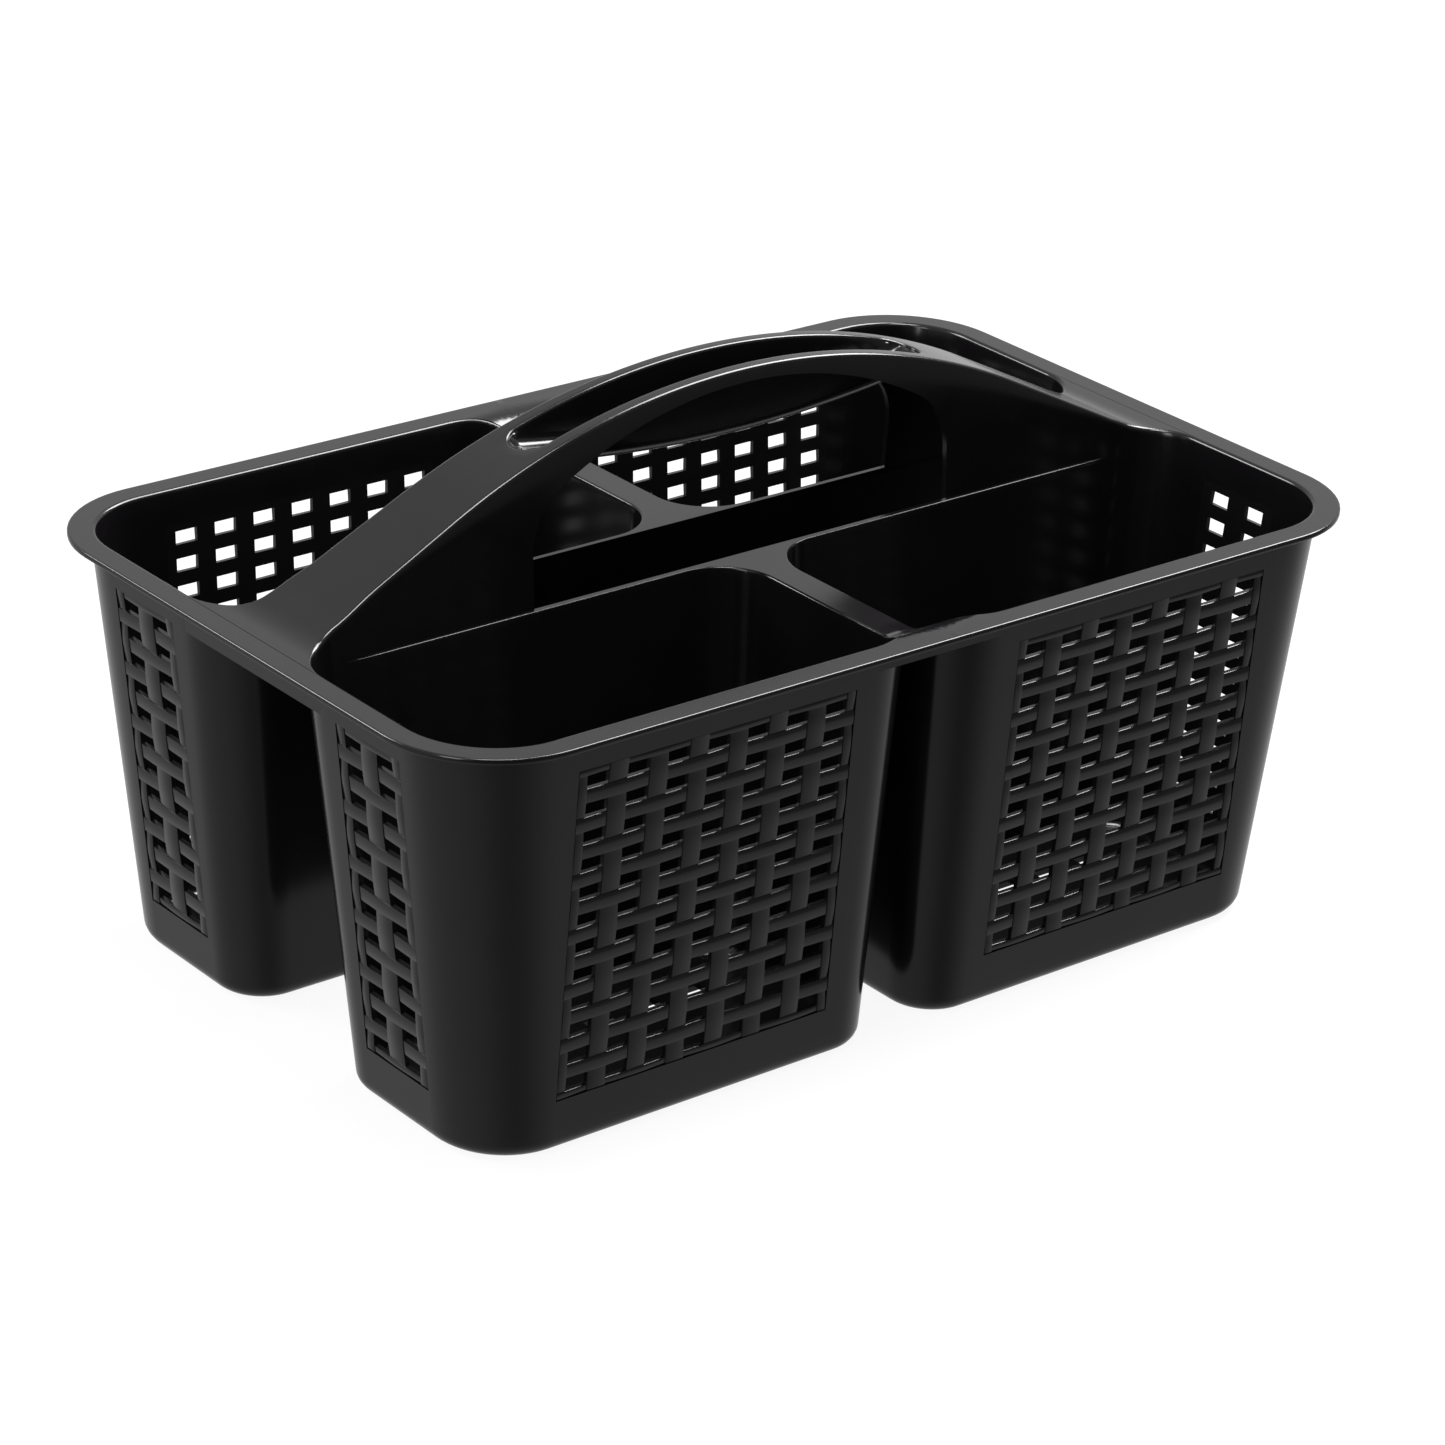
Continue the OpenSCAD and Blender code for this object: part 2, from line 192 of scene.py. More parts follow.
def lay_grid(name, columns, rows, place, drop=None):
    """Adds a flat grid and moves its points to place(column, row); faces in drop go."""
    bpy.ops.object.select_all(action="DESELECT")
    bpy.ops.mesh.primitive_grid_add(x_subdivisions=columns, y_subdivisions=rows, size=1)
    piece = bpy.context.object
    piece.name = piece.data.name = name
    if drop:
        select_none(piece, "FACE")
        for face in piece.data.polygons:
            column = math.floor((face.center.x + 0.5) * columns)
            row = math.floor((face.center.y + 0.5) * rows)
            face.select = drop(column, row)
        bpy.ops.object.mode_set(mode="EDIT")
        bpy.ops.mesh.delete(type="FACE")
        bpy.ops.object.mode_set(mode="OBJECT")
    for point in piece.data.vertices:
        column = round((point.co.x + 0.5) * columns)
        row = round((point.co.y + 0.5) * rows)
        point.co = Vector(place(column, row)) * MM
    return piece


def weld(piece, distance=0.004):
    """Joins points that lie within distance of each other."""
    only(piece)
    bpy.ops.object.mode_set(mode="EDIT")
    bpy.ops.mesh.select_all(action="SELECT")
    bpy.ops.mesh.remove_doubles(threshold=distance * MM)
    bpy.ops.mesh.dissolve_degenerate(threshold=0.001 * MM)
    bpy.ops.object.mode_set(mode="OBJECT")


def face_towards(piece, point, way):
    """Turns the whole skin over if its face nearest to point does not look along way."""
    nearest = min(piece.data.polygons, key=lambda f: (f.center - Vector(point) * MM).length)
    if nearest.normal.dot(Vector(way)) < 0:
        piece.data.flip_normals()


def face_outwards(piece):
    """Turns all faces of a piece the same way, outwards where it is closed."""
    only(piece)
    bpy.ops.object.mode_set(mode="EDIT")
    bpy.ops.mesh.select_all(action="SELECT")
    bpy.ops.mesh.normals_make_consistent(inside=False)
    bpy.ops.object.mode_set(mode="OBJECT")


def thicken(piece, thickness=WALL):
    """Gives a skin its wall, on the side away from the faces' normals."""
    only(piece)
    wall = piece.modifiers.new("wall", "SOLIDIFY")
    wall.thickness = thickness * MM
    wall.offset = -1
    wall.use_even_offset = True
    bpy.ops.object.modifier_apply(modifier=wall.name)


def shade(piece, angle=35):
    """Smooth shading, with a sharp line where faces meet at more than angle degrees."""
    only(piece)
    bpy.ops.object.shade_smooth_by_angle(angle=math.radians(angle))


def mirrored(piece, name, flip_x, flip_y):
    """A copy with its own mesh, mirrored in x, in y or in both."""
    copy = piece.copy()
    copy.data = piece.data.copy()
    copy.name = copy.data.name = name
    bpy.context.collection.objects.link(copy)
    copy.data.transform(Matrix.Diagonal((-1 if flip_x else 1, -1 if flip_y else 1, 1, 1)))
    if flip_x != flip_y:                        # one mirroring turns the faces inside out
        copy.data.flip_normals()
    return copy


def join(pieces, name):
    bpy.ops.object.select_all(action="DESELECT")
    for piece in pieces:
        piece.select_set(True)
    bpy.context.view_layer.objects.active = pieces[0]
    bpy.ops.object.join()
    pieces[0].name = pieces[0].data.name = name
    return pieces[0]


def cut(piece, cutter):
    """Takes the cutter's volume away from piece, and removes the cutter."""
    only(piece)
    bite = piece.modifiers.new("cut", "BOOLEAN")
    bite.operation = "DIFFERENCE"
    bite.solver = "EXACT"
    bite.object = cutter
    bpy.ops.object.modifier_apply(modifier=bite.name)
    bpy.data.objects.remove(cutter)


# %% [markdown]
# ## The tubs
#
# A tub's skin runs down from the rim's edge radius, along a leaning wall and round into the floor.
# Its two outer walls have a window each for a woven panel. The last rows leave the floor open, so
# one flat face fills it before the skin gets its thickness.

# %% Skin of one tub
EDGE_STEPS, BAND_STEPS, WINDOW_STEPS, SKIRT_STEPS, ROUND_STEPS = 4, 2, 12, 3, 6
WINDOW_ROW = EDGE_STEPS + BAND_STEPS
WALL_ROWS = WINDOW_ROW + WINDOW_STEPS + SKIRT_STEPS
TUB_ROWS = WALL_ROWS + ROUND_STEPS


def tub_point(column, row):
    stop = WALK[column % len(WALK)]
    top, r = edge_of(stop)
    if row <= EDGE_STEPS:                       # the edge radius
        a = math.radians(90 * row / EDGE_STEPS)
        z = top - r + r * math.cos(a)
        x, y, nx, ny = on_outline(stop, z)
        out = r * (1 - math.sin(a))
        return x + nx * out, y + ny * out, z
    if row <= WALL_ROWS:                        # the wall
        if row <= WINDOW_ROW:
            z = between(top - r, PANEL_TOP, (row - EDGE_STEPS) / BAND_STEPS)
        elif row <= WINDOW_ROW + WINDOW_STEPS:
            z = between(PANEL_TOP, PANEL_FOOT, (row - WINDOW_ROW) / WINDOW_STEPS)
        else:
            z = between(PANEL_FOOT, FOOT_Z, (row - WINDOW_ROW - WINDOW_STEPS) / SKIRT_STEPS)
        return on_outline(stop, z)[:2] + (z,)
    a = math.radians(90 * (row - WALL_ROWS) / ROUND_STEPS)      # the turn into the floor
    x, y, nx, ny = on_outline(stop, FOOT_Z)
    inset = FLOOR_ROUND * (1 - math.cos(a))
    return x - nx * inset, y - ny * inset, FOOT_Z - FLOOR_ROUND * math.sin(a)


def tub_drop(column, row):
    here = WALK[column]
    if here[0] == END and here[2] == 1.0 and row < WINDOW_ROW:
        return True                             # the rim's edge stops at the handle's foot
    window = WINDOW_ROW <= row < WINDOW_ROW + WINDOW_STEPS
    return window and here[0] in (LONG, END) and here[1] == 1


tub = lay_grid("tub_quarter", len(WALK), TUB_ROWS, tub_point, tub_drop)
weld(tub)
select_none(tub, "EDGE")
for edge in tub.data.edges:
    ends = [tub.data.vertices[i].co.z for i in edge.vertices]
    edge.select = max(ends) < (FLOOR_TOP + TOUCH) * MM
bpy.ops.object.mode_set(mode="EDIT")
bpy.ops.mesh.edge_face_add()
bpy.ops.object.mode_set(mode="OBJECT")
face_towards(tub, (88, 66, FLOOR_TOP), (0, 0, 1))
thicken(tub)
print("tub skin:", len(tub.data.polygons), "faces")

# %% [markdown]
# The floor's drain holes are cut with small blocks, as the mould does with small cores. They stand
# in three rows of six.

# %% Drain holes
DRAIN_SIZE, DRAIN_PITCH, DRAIN_COUNT = (10.0, 5.0), (19.0, 18.0), (6, 3)
DRAIN_MIDDLE = (88.1, 65.8)
CORE_HEIGHT = 12.0                  # more than twice the floor's thickness, half below z = 0
cores = []
for i in range(DRAIN_COUNT[0]):
    for j in range(DRAIN_COUNT[1]):
        x = DRAIN_MIDDLE[0] + (i - (DRAIN_COUNT[0] - 1) / 2) * DRAIN_PITCH[0]
        y = DRAIN_MIDDLE[1] + (j - (DRAIN_COUNT[1] - 1) / 2) * DRAIN_PITCH[1]
        bpy.ops.mesh.primitive_cube_add(size=1, location=(x * MM, y * MM, 0))
        core = bpy.context.object
        core.scale = (DRAIN_SIZE[0] * MM, DRAIN_SIZE[1] * MM, CORE_HEIGHT * MM)
        bpy.ops.object.transform_apply(location=True, rotation=True, scale=True)
        cores.append(core)
core = join(cores, "drain_cores")
cut(tub, core)
shade(tub)
print("tub with drain holes:", len(tub.data.polygons), "faces")

# %% [markdown]
# ## The rim, the lands and the ends of the rim
#
# One sheet joins the four tubs: the flange round the outside, the two low lands between left and
# right tubs, and a narrow ledge beside the handle. Its grid starts at the tub's edge radius, and
# each column runs out to the nearest border of the quarter: the rim's edge, the middle of the
# land, or the handle's side.

# %% Deck of one quarter
LEDGE_Y = 16.4                      # the ledge runs in under the handle's side
DECK_ROWS, STRIP_STEPS = 8, 8
END_STRIP = [("strip", 0, k / STRIP_STEPS) for k in range(STRIP_STEPS + 1)]
FOOT_AT = next(i for i, stop in enumerate(WALK) if stop[0] == FOOT)
DECK_WALK = WALK[:FOOT_AT] + END_STRIP[1:] + WALK[FOOT_AT:] + WALK[:1]


def border(stop):
    """Where a column of the deck ends, as (x, y)."""
    kind, _, t = stop
    x, y = on_outline(stop, RIM_UNDER)[:2]
    if kind == LONG:
        return x, HALF_W
    if kind == END:
        return HALF_L, y
    if kind == FAR:
        a = math.radians(90 - 90 * t)
        return (HALF_L - RIM_CORNER + RIM_CORNER * math.cos(a),
                HALF_W - RIM_CORNER + RIM_CORNER * math.sin(a))
    if kind in (FOOT, SPINE):
        return x, LEDGE_Y
    if kind == LAND:
        return 0, y
    reach = PLAN_TOP[0] + PLAN_TOP[5]
    if kind == INNER:
        low = PLAN_TOP[2] + PLAN_TOP[5]
        return ((between(reach, 0, t * 2), LEDGE_Y) if t < 0.5
                else (0, between(LEDGE_Y, low, t * 2 - 1)))
    high = PLAN_TOP[3] - PLAN_TOP[5]
    return ((0, between(high, HALF_W, t * 2)) if t < 0.5
            else (between(0, reach, t * 2 - 1), HALF_W))


def deck_point(column, row):
    stop = DECK_WALK[column]
    share = row / DECK_ROWS
    if stop[0] == "strip":
        y = between(PLAN_TOP[2] + PLAN_TOP[5], 0, stop[2])
        return between(PLAN_TOP[1] + EDGE_RIM, HALF_L, share), y, RIM_TOP
    top, r = edge_of(stop)
    x, y, nx, ny = on_outline(stop, top)
    start = Vector((x + nx * r, y + ny * r))
    end = Vector(border(stop))
    x, y = start.lerp(end, share)
    if stop[0] in (LONG, FAR, END):
        return x, y, RIM_TOP
    return x, y, deck_height(y)


def deck_drop(column, row):
    kind = DECK_WALK[column][0]
    return kind == FOOT or (kind == "strip" and DECK_WALK[column + 1][0] == FOOT)


deck = lay_grid("deck_quarter", len(DECK_WALK) - 1, DECK_ROWS, deck_point, deck_drop)
weld(deck)
face_towards(deck, (150, 120, RIM_TOP), (0, 0, 1))
quarters = [deck, mirrored(deck, "left_back", True, False),
            mirrored(deck, "right_front", False, True), mirrored(deck, "left_front", True, True)]
deck = join(quarters, "rim_and_lands")
weld(deck)
thicken(deck)
print("deck:", len(deck.data.polygons), "faces")

# %% [markdown]
# The flange's outer edge catches the light as a fine bright line all round the caddy. That line
# needs a real radius, so the two edges of the flange's rim face are picked by their place and
# bevelled.

# %% Round the flange's outer edges
RIM_MARGIN = 0.05                   # points this close to the rim's outline count as on it
RIM_ROUND, RIM_SEGMENTS = 0.55, 3   # the bevel's width and its number of faces


def near_rim(co):
    x, y = abs(co.x) / MM, abs(co.y) / MM
    cx, cy = HALF_L - RIM_CORNER, HALF_W - RIM_CORNER
    if x > cx and y > cy:
        return math.hypot(x - cx, y - cy) > RIM_CORNER - RIM_MARGIN
    return x > HALF_L - RIM_MARGIN or y > HALF_W - RIM_MARGIN


def bevel_edges(piece, wanted, size, segments):
    """Bevels the edges whose two ends pass wanted(a, b), and returns how many there are."""
    select_none(piece, "EDGE")
    picked = 0
    for edge in piece.data.edges:
        a, b = (piece.data.vertices[i].co for i in edge.vertices)
        edge.select = wanted(a, b)
        picked += edge.select
    bpy.ops.object.mode_set(mode="EDIT")
    bpy.ops.mesh.bevel(offset=size * MM, segments=segments, profile=0.5)
    bpy.ops.object.mode_set(mode="OBJECT")
    return picked


def rim_edge(a, b):
    level = abs(a.z - b.z) < TOUCH * MM
    return level and near_rim(a) and near_rim(b)


print("rim edges bevelled:", bevel_edges(deck, rim_edge, RIM_ROUND, RIM_SEGMENTS))
shade(deck)

# %% [markdown]
# Between two tubs a short apron hangs under the flange and stiffens it. Its face lies in the plane
# of the two walls that it joins, so the light runs over all three without a break. The aprons at
# the ends are deeper, because they carry the handle's foot. Each land has one too, beside the
# spine, and it closes the view between two tubs.

# %% Aprons
LONG_APRON, END_APRON = 6.5, 11.0   # depth below the flange's underside
SPINE_APRON = 20.0                  # depth below the land's top
APRON_COLUMNS, APRON_ROWS = 12, 4
APRON_BURIED = 1.5                  # how far below the flange's or land's top an apron starts


def apron(name, stop, top, depth):
    """A strip from a stop of the walk to the same stop of the neighbouring tub."""
    def place(column, row):
        z = between(top - APRON_BURIED, top - depth, row / APRON_ROWS)
        x, y, nx, ny = on_outline(stop, z)
        side = between(-1, 1, column / APRON_COLUMNS)
        return (x + WALL, side * y, z) if nx else (side * x, y + WALL * ny, z)

    strip = lay_grid(name, APRON_COLUMNS, APRON_ROWS, place)
    face_towards(strip, place(APRON_COLUMNS // 2, APRON_ROWS // 2),
                 on_outline(stop, top)[2:] + (0,))
    thicken(strip)
    shade(strip)
    return strip


back_apron = apron("back_apron_skin", (LONG, 0, 0.0), RIM_TOP, LONG_APRON + WALL)
right_apron = apron("right_apron_skin", (END, 2, 1.0), RIM_TOP, END_APRON + WALL)
back_spine_apron = apron("back_spine_apron_skin", (SPINE, 0, 1.0), DECK, SPINE_APRON)
print("aprons:", len(back_apron.data.polygons), "faces each")

# %% [markdown]
# ## The handle
#
# The handle is a bridge with a flat top and two leaning side webs. Its top line is an arc between
# two straight legs, and a small hollow radius lets each leg run out flat onto the rim. At the foot
# its sides swing round into the tubs' corners, so that the web and the tub's wall are one surface
# with only the ledge's line between them.

# %% The handle's top line
HANDLE_RISE = 54.5
TOE_X = 170.3                       # where a leg's straight line meets the rim
LEG_RUN = 108.8                     # from there to where it meets the crown's height
LEG_SLOPE = math.atan(HANDLE_RISE / LEG_RUN)
CROWN_R = (TOE_X - LEG_RUN) / math.tan(LEG_SLOPE / 2)
TOE_R = 22.0
TANGENT_X = CROWN_R * math.sin(LEG_SLOPE)
TOE_RUN = TOE_R * math.tan(LEG_SLOPE / 2)


def rise(x):
    """Height of the handle's top above the rim."""
    x = abs(x)
    if x < TANGENT_X:
        return HANDLE_RISE - CROWN_R + math.sqrt(CROWN_R ** 2 - x * x)
    if x < TOE_X - TOE_RUN * math.cos(LEG_SLOPE):
        return (TOE_X - x) * math.tan(LEG_SLOPE)
    if x < TOE_X + TOE_RUN:
        return TOE_R - math.sqrt(TOE_R ** 2 - (TOE_X + TOE_RUN - x) ** 2)
    return 0.0


# %% [markdown]
# The web and the top share one list of stations along the handle. Most are a plain x. The last
# ones are stops of the tubs' walk, where the side swings round into the corner at the foot.

# %% Stations along the handle
STEP_X = PLAN_TOP[1] - PLAN_TOP[5]                # where the tub's corner starts
TROUGH_HALF, TROUGH_R, RING_END = 84.0, 9.0, 92.0
BRIDGE_STEPS, LEG_STEPS = 24, 18
LEG_X = [between(RING_END, STEP_X, k / LEG_STEPS) for k in range(LEG_STEPS + 1)]
FOOT_STOPS = [(FOOT, 0, 1 - k / CORNER_STOPS) for k in range(1, CORNER_STOPS + 1)]
TOP_EDGE = 1.2                      # radius between the web and the top
LEDGE, LEDGE_FADE = 1.2, 146.0      # the ledge's width, and the x from which it narrows to nothing


def ledge_at(x):
    return LEDGE * (1 - smooth((abs(x) - LEDGE_FADE) / (STEP_X - LEDGE_FADE)))


def side_point(x, z):
    """A point of the handle's side: straight along the spine."""
    return plan_at(z)[2] - ledge_at(x)


def side_edge(station, a):
    """Point on the top edge radius of the handle's side; a is 90 at the web and 0 at the top."""
    down = TOP_EDGE * (1 - math.cos(math.radians(a)))
    out = TOP_EDGE * (1 - math.sin(math.radians(a)))
    if isinstance(station, tuple):
        x = on_outline(station, RIM_TOP)[0]
        z = RIM_TOP + rise(x) - down
        x, y, nx, ny = on_outline(station, z)
        return x + nx * out, y + ny * out, z
    z = RIM_TOP + rise(station) - down
    return station, side_point(station, z) - out, z


INNER_X = [between(0, RING_END, k / BRIDGE_STEPS) for k in range(BRIDGE_STEPS)]
HALF_STATIONS = INNER_X + LEG_X + FOOT_STOPS
WEB_ROWS = 6


def flip(point):
    return -point[0], point[1], point[2]


def web_point(column, row):
    index = column - len(HALF_STATIONS) + 1
    station = HALF_STATIONS[abs(index)]
    if row <= WEB_ROWS:
        z = between(DECK, side_edge(station, 90)[2], row / WEB_ROWS)
        if isinstance(station, tuple):
            x, y = on_outline(station, z)[:2]
        else:
            x, y = station, side_point(station, z)
        point = (x, y, z)
    else:
        point = side_edge(station, 90 - 90 * (row - WEB_ROWS) / EDGE_STEPS)
    return flip(point) if index < 0 else point


web = lay_grid("back_web_skin", 2 * (len(HALF_STATIONS) - 1), WEB_ROWS + EDGE_STEPS, web_point)
weld(web)
face_towards(web, (120, 17, 150), (0, 1, 0))
thicken(web)
print("web:", len(web.data.polygons), "faces")

# %% [markdown]
# The hand opening is cut through the web with a block whose face follows the opening: straight
# sides, round shoulders and a crown nearly parallel to the handle's top.

# %% The hand opening
OPENING_HALF, SHOULDER_R, OPENING_SIDE, WEB_CROWN = 86.0, 24.0, 9.6, 4.6
SHOULDER_X = OPENING_HALF - SHOULDER_R
SPAN = HANDLE_RISE - WEB_CROWN - OPENING_SIDE
OPENING_R = (SHOULDER_X ** 2 + SPAN ** 2 - SHOULDER_R ** 2) / (2 * (SPAN - SHOULDER_R))
OPENING_C = RIM_TOP + HANDLE_RISE - WEB_CROWN - OPENING_R
SHOULDER_A = math.asin(SHOULDER_X / (OPENING_R - SHOULDER_R))
SHOULDER_Z = RIM_TOP + OPENING_SIDE
OPENING_FOOT = DECK - 4             # the block reaches below the web's foot, to cut it open
ARC_STEPS = 16
half_line = [(OPENING_HALF, OPENING_FOOT)]
for k in range(ARC_STEPS + 1):
    a = between(math.pi / 2, SHOULDER_A, k / ARC_STEPS)
    half_line.append((SHOULDER_X + SHOULDER_R * math.sin(a), SHOULDER_Z + SHOULDER_R * math.cos(a)))
for k in range(1, ARC_STEPS + 1):
    a = between(SHOULDER_A, 0, k / ARC_STEPS)
    half_line.append((OPENING_R * math.sin(a), OPENING_C + OPENING_R * math.cos(a)))
opening_line = half_line + [(-x, z) for x, z in reversed(half_line[:-1])]


def block_along(name, line, depth):
    """A block whose outline in x and z is line, and which fills depth, a stretch of y."""
    bpy.ops.object.select_all(action="DESELECT")
    bpy.ops.mesh.primitive_circle_add(vertices=len(line), fill_type="NGON")
    block = bpy.context.object
    block.name = name
    for point, (x, z) in zip(block.data.vertices, line):
        point.co = Vector((x, depth[0], z)) * MM
    bpy.ops.object.mode_set(mode="EDIT")
    bpy.ops.mesh.select_all(action="SELECT")
    bpy.ops.mesh.extrude_region_move(
        TRANSFORM_OT_translate={"value": (0, (depth[1] - depth[0]) * MM, 0)})
    bpy.ops.object.mode_set(mode="OBJECT")
    face_outwards(block)
    return block


block = block_along("hand_opening_block", opening_line, (2, 30))
cut(web, block)
shade(web, 30)
print("web with its opening:", len(web.data.polygons), "faces")

# %% [markdown]
# ## The handle's top and its trough
#
# Rings of points round the trough's outline carry the top's surface outwards to the edge radius,
# and inwards over a small radius, down the trough's wall and round into its keel. The keel sags
# towards the middle and turns up at both ends.

# %% Top of the handle
TROUGH_DEPTH, RAMP_LEN, RAMP_RISE = 25.0, 8.0, 5.0      # the ramp is the keel's upturned end
TROUGH_EDGE, KEEL_ROUND = 1.0, 3.6
TROUGH_DRAFT = 0.5                  # how much narrower the trough is at the bottom of its wall
EDGE_SHARE = 0.999                  # keeps the edge's last ring of points just off the wall
SQUARE_ARC = 45                     # up to this angle a column runs to the ring's straight end
RING_ROWS, TROUGH_WALL, KEEL_STEPS = 3, 3, 4
ARC_STOPS, SIDE_STOPS = 32, 40
CENTRE_X = TROUGH_HALF - TROUGH_R
END_RISE = rise(TROUGH_HALF)
KEEL_MIDDLE = HANDLE_RISE - TROUGH_DEPTH + WALL


def keel(x):
    """Height of the trough's bottom above the rim."""
    x = abs(x)
    flat = TROUGH_HALF - RAMP_LEN
    turn = END_RISE - RAMP_RISE + WALL
    if x < flat:
        return between(KEEL_MIDDLE, turn, (x / flat) ** 2)
    return between(turn, END_RISE + WALL, ((x - flat) / RAMP_LEN) ** 1.5)


RING = ([("arc", 90 - 180 * k / ARC_STOPS) for k in range(ARC_STOPS)]
        + [("side", k / SIDE_STOPS) for k in range(SIDE_STOPS)])
RING = RING + [(kind, t, True) for kind, t in RING]


def ring_point(column, row):
    """Half of the ring is worked out, and the other half is the same turned by 180 degrees."""
    entry = RING[column % len(RING)]
    turned = len(entry) == 3
    kind, t = entry[:2]
    half = CENTRE_X

    def at(inset):
        r = TROUGH_R - inset
        if kind == "arc":
            a = math.radians(t)
            return half + r * math.cos(a), r * math.sin(a)
        return between(half, -half, t), -r

    if row <= RING_ROWS:
        x, y = at(0)
        if kind == "side":
            end = (x, -side_edge(x, 0)[1])
        elif abs(t) <= SQUARE_ARC:
            end = (RING_END, side_edge(RING_END, 0)[1] * t / SQUARE_ARC)
        else:
            end_x = between(RING_END, half, (abs(t) - SQUARE_ARC) / SQUARE_ARC)
            end = (end_x, math.copysign(side_edge(end_x, 0)[1], t))
        x, y = Vector(end).lerp(Vector((x, y)), row / RING_ROWS)
        z = RIM_TOP + rise(x)
    else:
        step = row - RING_ROWS
        if step <= EDGE_STEPS:
            a = math.radians(90 * step / EDGE_STEPS)
            x, y = at(TROUGH_EDGE * math.sin(a) * EDGE_SHARE)
            drop = TROUGH_EDGE * (1 - math.cos(a))
            z = RIM_TOP + rise(x) - drop
            z = max(z, RIM_TOP + min(keel(x), rise(x) - drop))
        else:
            step -= EDGE_STEPS
            if step <= TROUGH_WALL:
                inset = TROUGH_EDGE + TROUGH_DRAFT * step / TROUGH_WALL
                x, y = at(inset)
                top = rise(x) - TROUGH_EDGE
                low = min(keel(x) + KEEL_ROUND, top)
                z = RIM_TOP + between(top, low, step / TROUGH_WALL)
            elif step <= TROUGH_WALL + KEEL_STEPS:
                a = math.radians(90 * (step - TROUGH_WALL) / KEEL_STEPS)
                inset = TROUGH_EDGE + TROUGH_DRAFT + KEEL_ROUND * (1 - math.cos(a))
                x, y = at(inset)
                low = min(keel(x) + KEEL_ROUND, rise(x) - TROUGH_EDGE)
                z = RIM_TOP + between(low, min(keel(x), low), math.sin(a))
            else:
                x, y = at(TROUGH_R)
                z = RIM_TOP + keel(x)
    return (-x, -y, z) if turned else (x, y, z)


ring = lay_grid("trough_ring", len(RING), RING_ROWS + EDGE_STEPS + TROUGH_WALL + KEEL_STEPS + 1,
                ring_point)

LEG_STATIONS = LEG_X + FOOT_STOPS
ACROSS = 16                         # rows of a leg's top, from one side to the other
RING_GAP = 0.02                     # the ring and the legs are welded across gaps up to this


def leg_point(column, row):
    x, y, z = side_edge(LEG_STATIONS[column], 0)
    return x, between(y, -y, row / ACROSS), z


leg = lay_grid("right_leg_top", len(LEG_STATIONS) - 1, ACROSS, leg_point)
left_leg = mirrored(leg, "left_leg_top", True, False)
handle_top = join([ring, leg, left_leg], "handle_top")
weld(handle_top, RING_GAP)
face_outwards(handle_top)
face_towards(handle_top, (130, 0, RIM_TOP + rise(130)), (0, 0, 1))
thicken(handle_top)
shade(handle_top, 40)
print("handle top:", len(handle_top.data.polygons), "faces")

# %% [markdown]
# ## The woven panels
#
# Each outer wall has a panel that looks like flat cane, one strap over and one under. It is part of
# the moulding: inside it is a plain pierced grid, and the straps stand out of it on the outside.
# One strap is a flat tube of points, laid along a wave that rises where it passes over and dips
# where it passes under. The wave of the next strap is half a turn behind.

# %% One woven panel
STRAP_T = 0.55
WAVE = 0.16                         # how far a strap rises and dips
PANEL_SUNK = 0.1                    # the highest straps lie this far below the wall's face
GRID_FACE = -0.75                   # depth of the plain grid's outer face
GROOVE = 0.3                        # the fine gap round a panel
STRAP_EDGE = 0.16                   # size of the rounding along a strap's two upper edges
EDGE_MIDDLE = 0.3                   # where its middle point lies, as a share of that size
STEPS_UP, STEPS_ACROSS = 6, 8       # rows of points from hole to hole, in upright and level straps


def strap(name, length, width, steps, wave):
    """A flat strap along its own first axis: its section is eight points round."""
    w, t, e = width / 2, STRAP_T / 2, STRAP_EDGE
    m = e * EDGE_MIDDLE
    section = [(-w, -t), (w, -t), (w, t - e), (w - m, t - m), (w - e, t),
               (-w + e, t), (-w + m, t - m), (-w, t - e)]

    def place(column, row):
        side, up = section[column % len(section)]
        along = length * row / steps
        return along, side, up + wave(along)

    return lay_grid(name, len(section), steps, place)


def straps(name, spread, reach, waves, level, wave):
    """Parallel straps between the holes, each with its place across the panel.

    spread is the number, pitch and size of the holes across the straps and the panel's size there,
    reach is the panel's size along the straps, and waves is the distance of two crossings and the
    number of steps. There is one strap more than holes, and the two outermost are half as wide."""
    (count, pitch, hole, room), (crossing, steps) = spread, waves
    laid = []
    for k in range(count + 1):
        side, at = pitch - hole, k * pitch
        if k in (0, count):
            side = side / 2 - GROOVE
            at = GROOVE + side / 2 if k == 0 else room - GROOVE - side / 2
        laid.append((strap(name, reach - 2 * GROOVE, side, steps,
                           lambda s, k=k: level + wave * math.cos(
                               math.pi * (s + GROOVE) / crossing + math.pi * k)), at))
    return laid


